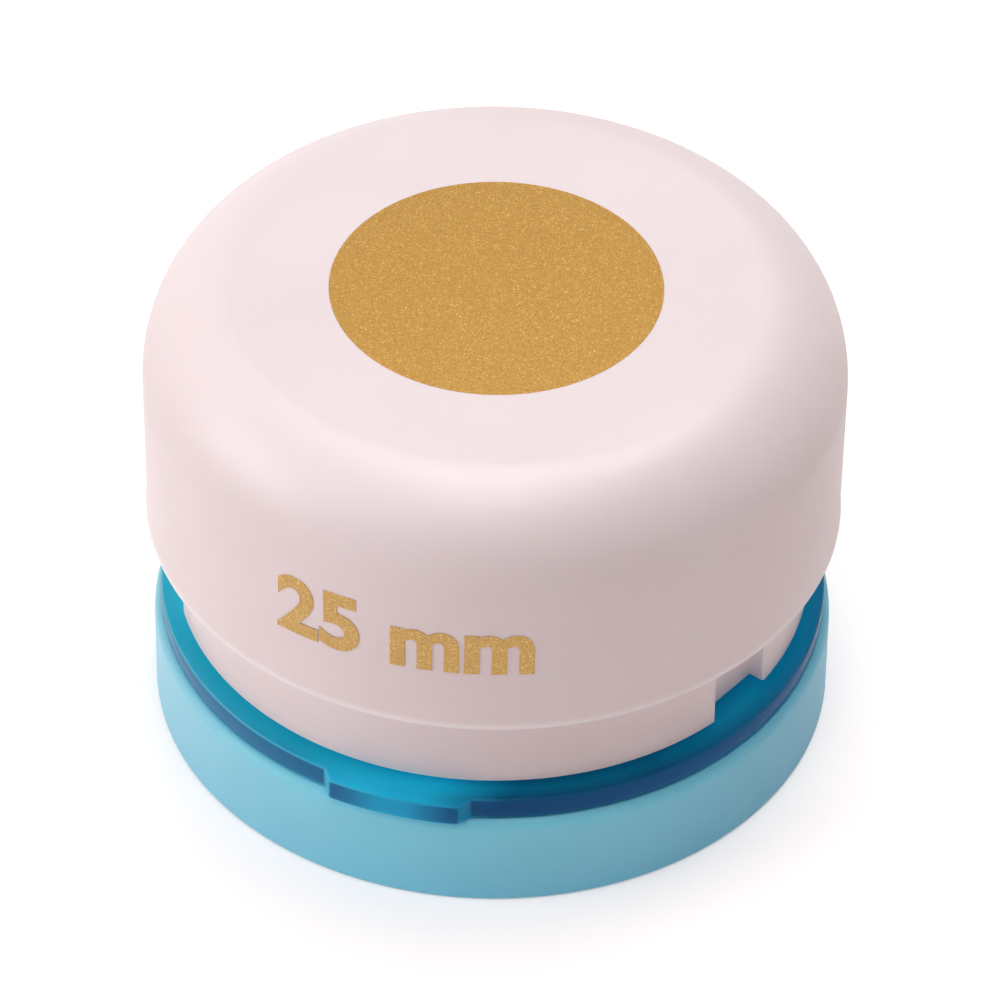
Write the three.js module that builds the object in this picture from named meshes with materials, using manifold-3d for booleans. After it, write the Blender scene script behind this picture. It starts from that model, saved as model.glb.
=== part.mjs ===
// A palm-press circle punch for paper craft. Pressing the round cap drives a cup-shaped cutter
// through the paper that lies in the slot under the skirt, and the cut disc drops into the chip tray.
// Units are millimetres, +Z is up, the front (thumb tab) faces -Y, and the origin is the middle of
// the tray's underside.

import * as THREE from "three";
import { mergeVertices } from "three/addons/utils/BufferGeometryUtils.js";
import Module from "manifold-3d";

const wasm = await Module();
wasm.setup();

// Driving sizes: the cutter and its die set
const discRadius = 12.7; // the paper disc that it cuts, one inch across
const cutGap = 0.15; // cutter to guide bore and die, all round
const cutterWall = 1.8;
const cutterRoof = 2;
const cutterLift = 0.4; // lowest cutting edge above the slot's ceiling at rest
const shearRise = 2.2; // how much higher the edge stands in the middle than at its two tips
const guideWall = 2.4;
const flangeThickness = 2.5;
const dieWall = 2.55;
const dieFlange = 1.7;
const dieLand = 2; // straight height of the die's edge, over its relief
const dieRelief = 0.5;

// Driving sizes: the return spring and what it pushes on
const wire = 1.6;
const springGap = 0.7; // guide tube to coil
const springRoom = 0.8; // coil to screw bosses
const springLength = 18; // as fitted, with the cap up
const coilGap = 0.45; // between the closed end turns
const springTurns = 7;
const washerThickness = 0.6;
const washerLip = 0.35; // how far the washer is wider than the coil, inside and outside
const holderThickness = 3;
const collarWall = 2.1;
const collarDepth = 3;
const collarGap = 0.3; // cutter to collar

// Driving sizes: the cap
const stroke = 6;
const capRoom = 1.3; // cap's edge over the slot's ceiling when it is pressed
const capWall = 2;
const capTop = 2.2;
const shoulderRun = 6.8; // the round shoulder, inward and down
const shoulderDrop = 8.2;
const capEdgeRound = 0.35;
const locatorWall = 1;
const locatorDepth = 2;
const gussetThickness = 0.8;
const gussetDepth = 2.5;
const gussets = 8;
const printDepth = 0.2;
const printGap = 0.1;

// Driving sizes: the skirt housing and the keys that guide the cap in it
const skirtWall = 1.5;
const slideGap = 0.3; // skirt to cap
const skirtFloor = 1.5;
const bossRadius = 2.3;
const bossWeb = 0.25; // between a boss and the skirt's wall
const bossHeight = 8;
const ribThickness = 1.2;
const ribHeight = 4;
const channelWidth = 5.9;
const keyInset = 1.4; // key's foot above the cap's edge
const keyHeight = 4.1;
const keyLead = 0.7; // slope at the key's foot that lets it snap in
const keyGap = 0.3; // key to channel, on every side
const ledgeHeight = 1.6; // skirt above the channels, which the keys catch under
const skirtBevel = 1;

// Driving sizes: the paper slot, the base plate and the chip tray
const slotHeight = 0.8;
const stopMargin = 1.4; // paper stop behind the die's hole
const plateInset = 1; // plate's edge inside the cap's
const plateThickness = 1.9;
const plateBevel = 0.25;
const tabReach = 1; // thumb tab beyond the plate
const spigotWall = 1.35;
const spigotDepth = 2.4;
const trayLip = 0.5; // tray beyond the plate
const trayHeight = 8.1;
const trayWall = 1.4;
const trayFloor = 1.4;
const trayRimRound = 0.9;
const trayFootRound = 0.35;
const trayInnerRound = 0.8;

// Driving sizes: fasteners and fits
const screwRadius = 1.2;
const headRadius = 2.2;
const headHeight = 1.3;
const screwBite = 9.5; // length of a body screw above the slot's ceiling
const threadGap = 0.15; // screw and pin to their holes
const pinRadius = 1.25;
const metalLand = 0.8; // least metal between two holes
const driveDepth = 0.7; // cross recess
const driveWidth = 0.6;
const driveLength = 2.4;
const seatGap = 0.1; // between faces that are clamped together
const plateGap = 0.2; // die boss in the plate's opening
const flangeGap = 0.3; // flanges, spigot and spacer to the wall round them
const overrun = 1; // how far a cutting solid runs past what it cuts

// Angles and shares
const channelAngle = THREE.MathUtils.degToRad(67); // side channels, from the front
const tabHalfAngle = THREE.MathUtils.degToRad(12.2);
const tabFlankAngle = THREE.MathUtils.degToRad(1.1);
const groundShare = 0.25; // of the wire, ground flat at the spring's ends
const cutterScrewShare = 0.6; // cutter screws' circle, of the room inside the cutter
const ribShares = [0, 0.5, -0.5, 1.5, -1.5]; // skirt ribs, in steps of the channels' angle
const fineSides = 60; // of the rounds, from the outer ones down to the screws
const mediumSides = 44;
const coarseSides = 12;
const shoulderSteps = 7;
const cornerSteps = 3;

// Radii, from the cutter outwards
const boreRadius = discRadius + cutGap;
const guideRadius = boreRadius + guideWall;
const springInner = guideRadius + springGap;
const springOuter = springInner + wire;
const springMean = (springInner + springOuter) / 2;
const bossCircle = springOuter + springRoom + bossRadius;
const skirtInner = bossCircle + bossRadius + bossWeb;
const skirtRadius = skirtInner + skirtWall;
const capInner = skirtRadius + slideGap;
const capRadius = capInner + capWall;
const capFlat = capRadius - shoulderRun;
const plateRadius = capRadius - plateInset;
const tabRadius = plateRadius + tabReach;
const trayRadius = plateRadius + trayLip;
const trayInner = trayRadius - trayWall;
const spigotRadius = trayInner - flangeGap;
const flangeRadius = skirtInner - skirtWall - flangeGap;
const dieBoss = boreRadius + dieWall;
const cutterInner = discRadius - cutterWall;
const collarInner = discRadius + collarGap;
const pinCircle = (guideRadius + flangeRadius) / 2;
const stopY = boreRadius + stopMargin;

// Heights, from the tray upwards
const plateBottom = trayHeight + seatGap;
const plateTop = plateBottom + plateThickness;
const dieFlangeTop = plateBottom - seatGap;
const dieBottom = dieFlangeTop - dieFlange;
const slotTop = plateTop + slotHeight;
const flangeTop = slotTop + flangeThickness;
const floorBottom = flangeTop + seatGap;
const floorTop = floorBottom + skirtFloor;
const springBottom = floorTop + seatGap;
const springTop = springBottom + springLength;
const washerBottom = springTop + seatGap;
const holderBottom = washerBottom + washerThickness;
const ceiling = holderBottom + holderThickness;
const totalHeight = ceiling + capTop;
const capEdge = slotTop + stroke + capRoom;
const keyBottom = capEdge + keyInset;
const keyTop = keyBottom + keyHeight;
const ledge = keyTop + keyGap;
const skirtTop = ledge + ledgeHeight;
const cutterBottom = slotTop + cutterLift;
const cutterCeiling = holderBottom - cutterRoof;
const collarBottom = holderBottom - collarDepth;
const guideTop = collarBottom - stroke - seatGap; // the collar lands on it at full stroke

// Places of pins and screws, as angles from the rear (+Y)
const pinAngle = (pinRadius + threadGap + metalLand) / pinCircle;
const dieScrewAngle = pinAngle + (pinRadius + threadGap + metalLand + headRadius) / pinCircle;
const bodyScrewAngle = dieScrewAngle + (2 * headRadius + flangeGap + metalLand) / pinCircle;

const blushAbs = new THREE.MeshStandardMaterial({ color: 0xf2e2e0, roughness: 0.45 });
const goldInk = new THREE.MeshStandardMaterial({ color: 0xc79a45, roughness: 0.4, metalness: 0.6 });
const clearBlue = new THREE.MeshStandardMaterial({
  color: 0x1590b4, roughness: 0.12, transparent: true, opacity: 0.7,
});
const frostedAqua = new THREE.MeshStandardMaterial({ color: 0x8fd0dc, roughness: 0.5 });
const hardSteel = new THREE.MeshStandardMaterial({ color: 0xb9bcc0, roughness: 0.25, metalness: 1 });
const castZinc = new THREE.MeshStandardMaterial({ color: 0x9ea2a6, roughness: 0.45, metalness: 0.9 });
const springSteel = new THREE.MeshStandardMaterial({ color: 0x8b8f94, roughness: 0.3, metalness: 1 });
const greyAbs = new THREE.MeshStandardMaterial({ color: 0xc9ccce, roughness: 0.55 });

const punch = new THREE.Group();

// A closed geometry as a solid that can be joined and cut.
function solidOf(geometry) {
  const bare = geometry.clone();
  bare.deleteAttribute("normal");
  bare.deleteAttribute("uv");
  const merged = mergeVertices(bare);
  return new wasm.Manifold(
    new wasm.Mesh({
      numProp: 3,
      vertProperties: merged.getAttribute("position").array,
      triVerts: new Uint32Array(merged.index.array),
    }),
  );
}

// Adds a solid to the punch as one named piece.
function addPiece(name, solid, material) {
  const { numProp, numVert, vertProperties, triVerts } = solid.getMesh();
  const positions = new Float32Array(3 * numVert);
  for (let i = 0; i < numVert; i++) {
    positions.set(vertProperties.subarray(i * numProp, i * numProp + 3), 3 * i);
  }
  const geometry = new THREE.BufferGeometry();
  geometry.setAttribute("position", new THREE.BufferAttribute(positions, 3));
  geometry.setIndex(new THREE.BufferAttribute(triVerts, 1));
  geometry.computeVertexNormals();
  const mesh = new THREE.Mesh(geometry, material);
  mesh.name = name;
  punch.add(mesh);
}

// A solid turned about an upright line from a closed outline of [radius, height] points, which
// runs up the outside and down the inside. Its first corner can be set round by an angle.
function turned(outline, sides, place = [0, 0], angle = 0) {
  const points = outline.map(([radius, height]) => new THREE.Vector2(radius, height));
  const geometry = new THREE.LatheGeometry([...points, points[0]], sides);
  geometry.rotateX(Math.PI / 2);
  geometry.rotateZ(angle);
  geometry.translate(place[0], place[1], 0);
  return solidOf(geometry);
}

// An upright cylinder between two heights, on the axis unless it is given a place.
function post(radius, bottom, top, sides, place = [0, 0]) {
  const geometry = new THREE.CylinderGeometry(radius, radius, top - bottom, sides);
  geometry.rotateX(Math.PI / 2);
  geometry.translate(place[0], place[1], (bottom + top) / 2);
  return solidOf(geometry);
}

function ring(inner, outer, bottom, top, sides) {
  return turned([[inner, bottom], [outer, bottom], [outer, top], [inner, top]], sides);
}

// A block whose middle line lies along a radius at an angle from the front (-Y).
function spoke(inner, outer, bottom, top, width, angle) {
  const geometry = new THREE.BoxGeometry(width, outer - inner, top - bottom);
  geometry.translate(0, -(inner + outer) / 2, (bottom + top) / 2);
  geometry.rotateZ(angle);
  return solidOf(geometry);
}

// The half space behind the paper stop, as a block.
function behindStop(bottom, top) {
  const reach = capRadius + overrun;
  const geometry = new THREE.BoxGeometry(2 * reach, reach - stopY, top - bottom);
  geometry.translate(0, (stopY + reach) / 2, (bottom + top) / 2);
  return solidOf(geometry);
}

function united(solids) {
  return solids.reduce((whole, solid) => whole.add(solid));
}

// Points of a quarter ellipse about a centre, from one angle to another.
function bow(centre, run, rise, from, to, steps) {
  const points = [];
  for (let i = 0; i <= steps; i++) {
    const angle = from + ((to - from) * i) / steps;
    points.push([centre[0] + run * Math.cos(angle), centre[1] + rise * Math.sin(angle)]);
  }
  return points;
}

// A point on a circle at an angle from the rear, on the right for a positive side.
function atRear(circle, angle, side) {
  return [side * circle * Math.sin(angle), circle * Math.cos(angle)];
}

const sides = [["left", -1], ["right", 1]];
const keyAngles = [channelAngle, Math.PI, -channelAngle];
const bodyScrewPlaces = sides.map(([, side]) => atRear(bossCircle, bodyScrewAngle, side));
const dieScrewPlaces = sides.map(([, side]) => atRear(pinCircle, dieScrewAngle, side));
const pinPlaces = sides.map(([, side]) => atRear(pinCircle, pinAngle, side));

// Cuts a round hole at each place, right through between two heights.
function drilled(solid, places, radius, bottom, top) {
  return places.reduce(
    (part, place) => part.subtract(post(radius, bottom - overrun, top + overrun, coarseSides, place)),
    solid,
  );
}

// The cap: a moulded shell with a round shoulder, three snap keys, and a ribbed ceiling.
function makeCap() {
  const shoulder = totalHeight - shoulderDrop;
  const outer = turned([
    [0, capEdge],
    [capRadius - capEdgeRound, capEdge],
    [capRadius, capEdge + capEdgeRound],
    ...bow([capFlat, shoulder], shoulderRun, shoulderDrop, 0, Math.PI / 2, shoulderSteps),
    [0, totalHeight],
  ], fineSides);
  const inner = turned([
    [0, capEdge - overrun],
    [capInner, capEdge - overrun],
    ...bow([capFlat, shoulder], shoulderRun - capWall, shoulderDrop - capTop, 0, Math.PI / 2, cornerSteps),
    [0, ceiling],
  ], mediumSides);
  const locatorInner = capFlat - locatorWall;
  const features = [ring(locatorInner, capFlat, ceiling - locatorDepth, ceiling + capTop / 2, fineSides)];
  for (let i = 0; i < gussets; i++) {
    const angle = ((i + 1 / 2) * 2 * Math.PI) / gussets;
    const bottom = ceiling - gussetDepth;
    const reach = capInner - capWall / 2;
    features.push(spoke(capFlat - locatorWall / 2, reach, bottom, ceiling, gussetThickness, angle));
  }
  const keyWidth = channelWidth - 2 * keyGap;
  for (const angle of keyAngles) {
    features.push(makeKey(keyWidth, angle));
  }
  const recess = post(discRadius + printGap, totalHeight - printDepth, totalHeight + overrun, fineSides);
  const shell = outer.subtract(inner);
  addPiece("press_cap", shell.add(united(features).intersect(outer)).subtract(recess), blushAbs);
}

// One snap key: a block on the cap's wall with a sloped foot that rides in a channel of the skirt.
function makeKey(width, angle) {
  const tip = skirtInner + keyGap;
  const root = capInner + capWall / 2;
  const profile = new THREE.Shape([
    new THREE.Vector2(root, keyBottom),
    new THREE.Vector2(root, keyTop),
    new THREE.Vector2(tip, keyTop),
    new THREE.Vector2(tip, keyBottom + keyLead),
    new THREE.Vector2(tip + keyLead, keyBottom),
  ]);
  const geometry = new THREE.ExtrudeGeometry(profile, { depth: width, bevelEnabled: false });
  geometry.translate(0, 0, -width / 2);
  geometry.rotateX(Math.PI / 2);
  geometry.rotateZ(angle - Math.PI / 2);
  return solidOf(geometry);
}

function makePrint() {
  const bottom = totalHeight - printDepth;
  addPiece("gold_print", post(discRadius, bottom, totalHeight, fineSides), goldInk);
}

// The holder: a disc under the cap's ceiling with a collar round the cutter's head.
function makeHolder(screwPlaces) {
  const radius = capFlat - locatorWall - keyGap;
  const collarOuter = collarInner + collarWall;
  const disc = turned([
    [0, holderBottom],
    [collarInner, holderBottom],
    [collarInner, collarBottom],
    [collarOuter, collarBottom],
    [collarOuter, holderBottom],
    [radius, holderBottom],
    [radius, ceiling],
    [0, ceiling],
  ], mediumSides);
  const drilledDisc = drilled(disc, screwPlaces, screwRadius + threadGap, holderBottom, ceiling);
  addPiece("cutter_holder", drilledDisc, greyAbs);
}

// The cutter: a hardened cup, open below, whose edge rises from two tips to the middle so
// that it shears through the paper instead of stamping it all at once.
function makeCutter(screwPlaces) {
  const cup = turned([
    [0, cutterCeiling],
    [cutterInner, cutterCeiling],
    [cutterInner, cutterBottom],
    [discRadius, cutterBottom],
    [discRadius, holderBottom],
    [0, holderBottom],
  ], mediumSides);
  const reach = discRadius + overrun;
  const below = cutterBottom - overrun;
  const roof = new THREE.Shape([
    new THREE.Vector2(-reach, below),
    new THREE.Vector2(reach, below),
    new THREE.Vector2(discRadius, cutterBottom),
    new THREE.Vector2(0, cutterBottom + shearRise),
    new THREE.Vector2(-discRadius, cutterBottom),
  ]);
  const wedge = new THREE.ExtrudeGeometry(roof, { depth: 2 * reach, bevelEnabled: false });
  wedge.translate(0, 0, -reach);
  wedge.rotateX(Math.PI / 2);
  const sheared = cup.subtract(solidOf(wedge));
  const hole = screwRadius + threadGap;
  addPiece("cutter", drilled(sheared, screwPlaces, hole, cutterCeiling, holderBottom), hardSteel);
}

// The return spring: one wire in a helix with closed end turns, ground flat at both ends.
function makeSpring() {
  const turnSteps = 16;
  const wireSides = 6;
  const closedPitch = wire + coilGap;
  const bottom = springBottom + groundShare * wire;
  const rise = springLength - 2 * groundShare * wire;
  const openPitch = (rise - 2 * closedPitch) / (springTurns - 2);
  const heightAt = (turn) => {
    if (turn < 1) return bottom + closedPitch * turn;
    const open = Math.min(turn, springTurns - 1) - 1;
    return bottom + closedPitch * (1 + Math.max(turn - springTurns + 1, 0)) + openPitch * open;
  };
  const centres = [];
  const positions = [];
  const faces = [];
  const rings = springTurns * turnSteps;
  for (let i = 0; i <= rings; i++) {
    const angle = (2 * Math.PI * i) / turnSteps;
    const height = heightAt(i / turnSteps);
    centres.push(new THREE.Vector3(springMean * Math.cos(angle), springMean * Math.sin(angle), height));
    for (let j = 0; j < wireSides; j++) {
      const around = (2 * Math.PI * j) / wireSides;
      const radius = springMean + (wire / 2) * Math.cos(around);
      const level = height + (wire / 2) * Math.sin(around);
      positions.push(radius * Math.cos(angle), radius * Math.sin(angle), level);
    }
  }
  for (let i = 0; i < rings; i++) {
    for (let j = 0; j < wireSides; j++) {
      const a = i * wireSides + j;
      const b = i * wireSides + ((j + 1) % wireSides);
      faces.push(a, a + wireSides, b, b, a + wireSides, b + wireSides);
    }
  }
  const last = rings * wireSides;
  for (let j = 1; j < wireSides - 1; j++) {
    faces.push(0, j, j + 1, last, last + j + 1, last + j);
  }
  const geometry = new THREE.BufferGeometry();
  geometry.setAttribute("position", new THREE.Float32BufferAttribute(positions, 3));
  geometry.setIndex(faces);
  console.log(`return_spring: least gap to itself ${leastGap(centres, turnSteps / 2).toFixed(2)} mm`);
  const slab = post(springOuter + overrun, springBottom, springTop, mediumSides);
  addPiece("return_spring", solidOf(geometry).intersect(slab), springSteel);
}

// The least gap between two stretches of wire, from points on its middle line that lie
// more than some steps apart.
function leastGap(centres, apart) {
  let least = Infinity;
  for (let i = 0; i < centres.length; i++) {
    for (let j = i + apart; j < centres.length; j++) {
      least = Math.min(least, centres[i].distanceTo(centres[j]) - wire);
    }
  }
  return least;
}

function makeWasher() {
  const inner = springInner - washerLip;
  const outer = springOuter + washerLip;
  addPiece("spring_washer", ring(inner, outer, washerBottom, holderBottom, mediumSides), hardSteel);
}

// The skirt housing: the wall that shows under the cap, stepped inwards at three channels for
// the keys, with a floor that the spring stands on and two screw bosses at the rear. Its lower
// edge stands over the plate by the height of the paper slot, and meets the plate at the rear.
function makeSkirt() {
  const wall = turned([
    [skirtInner, plateTop],
    [skirtRadius, plateTop],
    [skirtRadius, skirtTop - skirtBevel],
    [skirtRadius - skirtBevel, skirtTop],
    [skirtInner, skirtTop],
  ], fineSides);
  const slot = post(skirtRadius + overrun, plateTop - overrun, slotTop, mediumSides);
  const openFront = slot.subtract(behindStop(plateTop - overrun - overrun, slotTop + overrun));
  const inWall = skirtInner + skirtWall / 2;
  const solids = [ring(guideRadius + flangeGap, inWall, floorBottom, floorTop, mediumSides)];
  const cutters = [openFront];
  for (const angle of keyAngles) {
    const back = skirtInner - skirtWall;
    const stepWidth = channelWidth + 2 * skirtWall;
    solids.push(spoke(back, inWall, slotTop, skirtTop, stepWidth, angle));
    cutters.push(spoke(skirtInner, capRadius, plateTop - overrun, ledge, channelWidth, angle));
  }
  for (const place of bodyScrewPlaces) {
    solids.push(post(bossRadius, slotTop, floorTop + bossHeight, coarseSides, place));
    const holeTop = slotTop + screwBite + threadGap;
    cutters.push(post(screwRadius + threadGap, slotTop - overrun, holeTop, coarseSides, place));
    const angle = Math.atan2(place[0], -place[1]);
    solids.push(spoke(bossCircle, inWall, slotTop, floorTop + bossHeight, ribThickness, angle));
  }
  for (const share of ribShares) {
    const foot = floorTop - skirtFloor / 2;
    const angle = share * channelAngle;
    solids.push(spoke(springOuter + springRoom, inWall, foot, floorTop + ribHeight, ribThickness, angle));
  }
  const trimmed = united(solids).intersect(post(skirtRadius - skirtWall / 2, plateTop, skirtTop, fineSides));
  const whole = wall.add(trimmed);
  addPiece("skirt_housing", cutters.reduce((part, cutter) => part.subtract(cutter), whole), blushAbs);
}

// The guide block: a casting whose tube keeps the cutter square to the die. Its flat underside
// is the slot's ceiling and strips the paper off the cutter.
function makeGuide() {
  let block = turned([
    [boreRadius, slotTop],
    [flangeRadius, slotTop],
    [flangeRadius, flangeTop],
    [guideRadius, flangeTop],
    [guideRadius, guideTop],
    [boreRadius, guideTop],
  ], mediumSides);
  block = drilled(block, dieScrewPlaces, screwRadius + threadGap, slotTop, flangeTop);
  block = drilled(block, pinPlaces, pinRadius + threadGap, slotTop, flangeTop);
  block = drilled(block, bodyScrewPlaces, bossRadius + flangeGap, slotTop, flangeTop);
  addPiece("guide_block", block, castZinc);
}

// The spacer: a shim behind the paper stop that sets the slot's height.
function makeSpacer() {
  let shim = post(skirtInner - flangeGap, plateTop, slotTop, fineSides);
  shim = shim.intersect(behindStop(plateTop - overrun, slotTop + overrun));
  const places = [...dieScrewPlaces, ...bodyScrewPlaces];
  shim = drilled(shim, places, screwRadius + threadGap, plateTop, slotTop);
  addPiece("slot_spacer", drilled(shim, pinPlaces, pinRadius + threadGap, plateTop, slotTop), hardSteel);
}

// The die plate: a flange under the base plate and a boss that comes up flush with its top,
// with a straight cutting land and a wider relief below it.
function makeDie() {
  let die = turned([
    [boreRadius + dieRelief, dieBottom],
    [flangeRadius, dieBottom],
    [flangeRadius, dieFlangeTop],
    [dieBoss, dieFlangeTop],
    [dieBoss, plateTop],
    [boreRadius, plateTop],
    [boreRadius, plateTop - dieLand],
    [boreRadius + dieRelief, plateTop - dieLand],
  ], mediumSides);
  die = drilled(die, dieScrewPlaces, screwRadius + threadGap, dieBottom, dieFlangeTop);
  die = drilled(die, pinPlaces, pinRadius + threadGap, dieBottom, dieFlangeTop);
  die = drilled(die, bodyScrewPlaces, headRadius + flangeGap, dieBottom, dieFlangeTop);
  for (const place of dieScrewPlaces) {
    die = die.subtract(sunkHead(place, threadGap, dieBottom - overrun));
  }
  addPiece("die_plate", die, castZinc);
}

// The cone of a countersunk head, grown all round, from a height below the die up to its shank.
function sunkHead(place, grown, from) {
  const shank = screwRadius + grown;
  return turned([
    [0, from],
    [headRadius + grown, from],
    [headRadius + grown, dieBottom],
    [shank, dieBottom + headHeight],
    [0, dieBottom + headHeight],
  ], coarseSides, place);
}

// The plate's outline: a circle that swells into the thumb tab at the front through two
// soft flanks. Angles run from the front.
function plateOutline() {
  const points = [];
  const at = (radius, angle) => {
    points.push(new THREE.Vector2(radius * Math.sin(angle), -radius * Math.cos(angle)));
  };
  const outside = tabHalfAngle + tabFlankAngle;
  const inside = tabHalfAngle - tabFlankAngle;
  const roundSteps = 56;
  for (let i = 0; i <= roundSteps; i++) {
    at(plateRadius, outside + (i * 2 * (Math.PI - outside)) / roundSteps);
  }
  const flank = (share) => plateRadius + (tabReach * (1 - Math.cos(Math.PI * share))) / 2;
  const flankSteps = 5;
  for (let i = 1; i < flankSteps; i++) {
    at(flank(i / flankSteps), -outside + (i * 2 * tabFlankAngle) / flankSteps);
  }
  const tabSteps = 6;
  for (let i = 0; i <= tabSteps; i++) {
    at(tabRadius, -inside + (i * 2 * inside) / tabSteps);
  }
  for (let i = flankSteps - 1; i > 0; i--) {
    at(flank(i / flankSteps), outside - (i * 2 * tabFlankAngle) / flankSteps);
  }
  return new THREE.Shape(points);
}

// The base plate: clear, with the thumb tab, an opening for the die boss, and a spigot ring
// underneath that the tray pushes on to.
function makePlate() {
  const geometry = new THREE.ExtrudeGeometry(plateOutline(), {
    depth: plateThickness - 2 * plateBevel,
    bevelThickness: plateBevel,
    bevelSize: plateBevel,
    bevelOffset: -plateBevel,
    bevelSegments: 1,
  });
  geometry.translate(0, 0, plateBottom + plateBevel);
  const spigotInner = spigotRadius - spigotWall;
  const spigotTop = plateBottom + plateThickness / 2;
  const spigot = ring(spigotInner, spigotRadius, plateBottom - spigotDepth, spigotTop, fineSides);
  let plate = solidOf(geometry).add(spigot);
  plate = plate.subtract(post(dieBoss + plateGap, plateBottom - overrun, plateTop + overrun, mediumSides));
  const places = [...dieScrewPlaces, ...bodyScrewPlaces];
  plate = drilled(plate, places, screwRadius + threadGap, plateBottom, plateTop);
  plate = drilled(plate, pinPlaces, pinRadius + threadGap, plateBottom, plateTop);
  addPiece("base_plate", plate, clearBlue);
}

// The chip tray: a frosted cup with a round foot edge, which the punch stands on and lifts off.
// Flats, not corners, lie across the X and Y axes.
function makeTray() {
  const quarter = Math.PI / 2;
  const foot = [trayRadius - trayFootRound, trayFootRound];
  const rim = [trayRadius - trayRimRound, trayHeight - trayRimRound];
  const corner = [trayInner - trayInnerRound, trayFloor + trayInnerRound];
  addPiece("chip_tray", turned([
    [0, 0],
    ...bow(foot, trayFootRound, trayFootRound, -quarter, 0, cornerSteps),
    ...bow(rim, trayRimRound, trayRimRound, 0, quarter, cornerSteps),
    [trayInner, trayHeight],
    ...bow(corner, trayInnerRound, trayInnerRound, 0, -quarter, cornerSteps),
    [0, trayFloor],
  ], fineSides, [0, 0], Math.PI / fineSides), frostedAqua);
}

// A cross recess, to be cut from a screw head whose face looks down at a height.
function crossRecess(place, face) {
  const bars = [0, Math.PI / 2].map((angle) => {
    const bar = new THREE.BoxGeometry(driveWidth, driveLength, driveDepth + overrun);
    bar.rotateZ(angle);
    bar.translate(place[0], place[1], face + (driveDepth - overrun) / 2);
    return solidOf(bar);
  });
  return united(bars);
}

// A pan-head screw that is driven upwards: the head hangs below its seat.
function addPanScrew(name, place, seat, tip) {
  const head = seat - headHeight;
  const screw = turned([
    [0, head],
    [headRadius - headHeight / 2, head],
    [headRadius, seat - headHeight / 2],
    [headRadius, seat],
    [screwRadius, seat],
    [screwRadius, tip - screwRadius],
    [0, tip],
  ], coarseSides, place);
  addPiece(name, screw.subtract(crossRecess(place, head)), hardSteel);
}

function addDieScrew(name, place) {
  const shank = post(screwRadius, dieBottom + headHeight / 2, flangeTop, coarseSides, place);
  const screw = sunkHead(place, 0, dieBottom).add(shank);
  addPiece(name, screw.subtract(crossRecess(place, dieBottom)), hardSteel);
}

// Three screws hold the cutter to its holder, from inside the cup.
const cutterScrewCircle = cutterScrewShare * cutterInner;
const cutterScrewPlaces = [0, 1, 2].map((i) => atRear(cutterScrewCircle, (i * 2 * Math.PI) / 3, 1));

makeCap();
makePrint();
makeHolder(cutterScrewPlaces);
makeCutter(cutterScrewPlaces);
cutterScrewPlaces.forEach((place, i) => {
  addPanScrew(`cutter_screw_${i + 1}`, place, cutterCeiling, ceiling - seatGap);
});
makeSpring();
makeWasher();
makeSkirt();
makeGuide();
makeSpacer();
makeDie();
makePlate();
makeTray();
sides.forEach(([side], i) => {
  const pin = post(pinRadius, dieBottom + seatGap, flangeTop - seatGap, coarseSides, pinPlaces[i]);
  addPiece(`dowel_pin_${side}`, pin, hardSteel);
  addDieScrew(`die_screw_${side}`, dieScrewPlaces[i]);
  addPanScrew(`body_screw_${side}`, bodyScrewPlaces[i], plateBottom, slotTop + screwBite);
});

export default punch;
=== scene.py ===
# %% [markdown]
# # A circle punch, from plain solids to finished surfaces
#
# A palm-press punch cuts a round disc of paper. The frame that is loaded here holds its solids:
# they say how large each piece is, where it sits and how it moves, but they are faceted and
# plain. Each step below takes one piece or one material, says what it is on the real punch,
# and gives it a smooth form and a finish.
#
# Everything is in metres in the frame's own axes: +Z is up and the thumb tab points to -Y.
# Sizes are written as millimetres times MM.

# %% Load the frame
import math

import bpy
from mathutils import Matrix, Quaternion, Vector


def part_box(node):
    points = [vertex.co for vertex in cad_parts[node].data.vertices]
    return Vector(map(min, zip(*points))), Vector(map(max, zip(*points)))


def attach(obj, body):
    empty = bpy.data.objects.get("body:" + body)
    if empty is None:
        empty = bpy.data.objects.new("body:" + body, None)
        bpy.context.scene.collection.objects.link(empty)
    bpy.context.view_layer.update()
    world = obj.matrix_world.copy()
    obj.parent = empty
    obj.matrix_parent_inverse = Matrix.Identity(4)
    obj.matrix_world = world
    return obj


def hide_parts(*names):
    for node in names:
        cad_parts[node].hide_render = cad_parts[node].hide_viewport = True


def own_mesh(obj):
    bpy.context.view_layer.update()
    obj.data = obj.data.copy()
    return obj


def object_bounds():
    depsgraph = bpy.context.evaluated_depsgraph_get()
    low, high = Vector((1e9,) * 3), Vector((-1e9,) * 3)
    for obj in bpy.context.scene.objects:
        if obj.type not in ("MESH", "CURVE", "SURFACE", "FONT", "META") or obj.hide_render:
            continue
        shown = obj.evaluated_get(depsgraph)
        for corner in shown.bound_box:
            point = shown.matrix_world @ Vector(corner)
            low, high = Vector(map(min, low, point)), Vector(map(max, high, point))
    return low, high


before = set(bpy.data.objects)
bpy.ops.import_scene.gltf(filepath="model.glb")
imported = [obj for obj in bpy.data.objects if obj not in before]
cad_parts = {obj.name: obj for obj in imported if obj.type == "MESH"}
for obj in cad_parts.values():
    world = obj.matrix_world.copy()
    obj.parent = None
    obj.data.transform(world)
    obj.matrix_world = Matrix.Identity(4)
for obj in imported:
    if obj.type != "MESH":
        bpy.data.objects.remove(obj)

MM = 0.001
cad_low, cad_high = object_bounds()
scene = bpy.context.scene
print("solids' box in mm:", [round(value / MM, 2) for value in (*cad_low, *cad_high)])

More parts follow.
